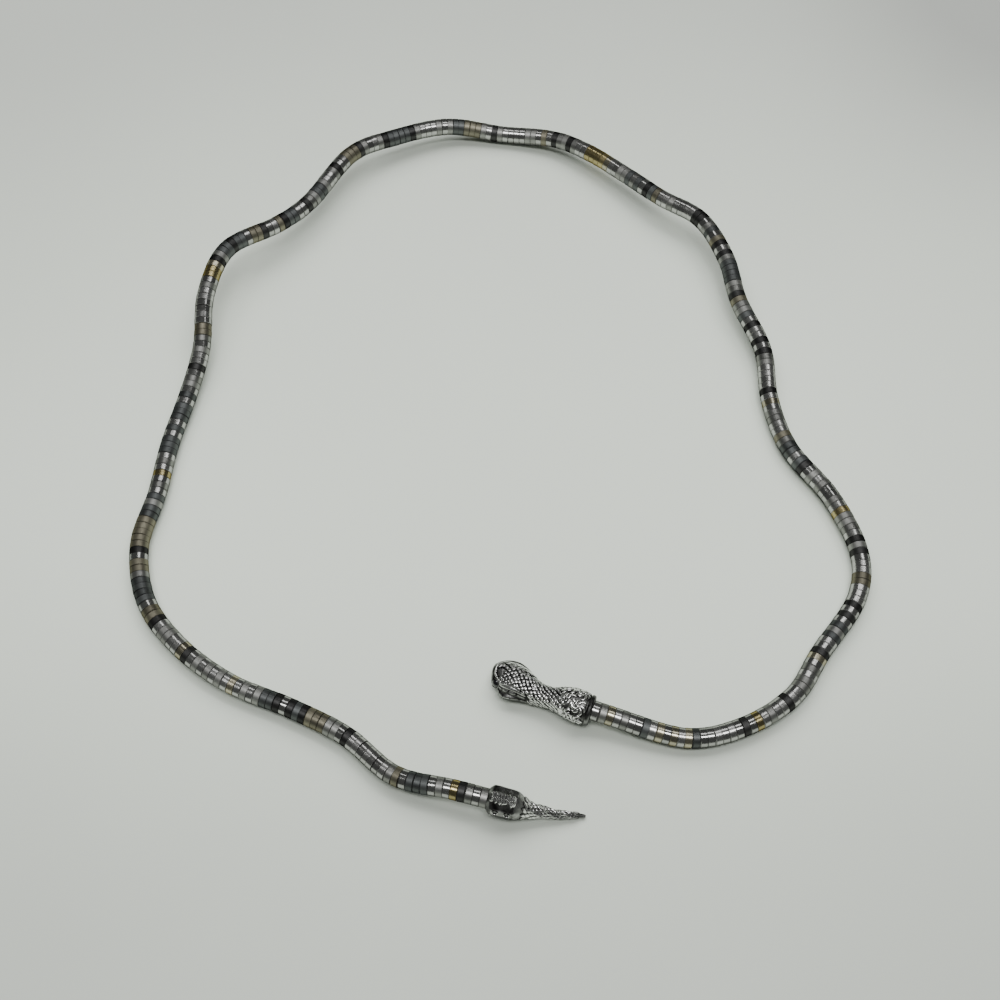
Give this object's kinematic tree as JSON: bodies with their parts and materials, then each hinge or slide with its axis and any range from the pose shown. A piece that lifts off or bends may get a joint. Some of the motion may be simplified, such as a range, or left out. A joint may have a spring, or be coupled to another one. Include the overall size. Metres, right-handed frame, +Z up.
{
  "type": "snake necklace",
  "caption": "Bendable snake necklace: a round chain of short mixed-plating bands that lies in an open loop, with a cast snake's head and a cast tail on its free ends.",
  "frame": {"origin": "on the surface that the necklace lies on, under the middle of its outline", "axes": "+Z up from that surface, +Y from the free ends towards the back of the loop, +X to the viewer's right with the free ends nearest"},
  "size_m": [0.2639, 0.3, 0.0169],
  "materials": {
    "cast_silver": "antiqued silver plate on cast zinc alloy, dark in the recesses and bright on the raised parts",
    "eye_stone": "polished black stone",
    "plated_bands": "short bands plated one by one in bright silver, gunmetal, black, blue-grey, bronze and brass"
  },
  "bodies": {
    "root": {"snake_head": "cast_silver", "left_eye": "eye_stone", "right_eye": "eye_stone", "ring_chain": "plated_bands", "tail": "cast_silver"}
  },
  "joints": []
}
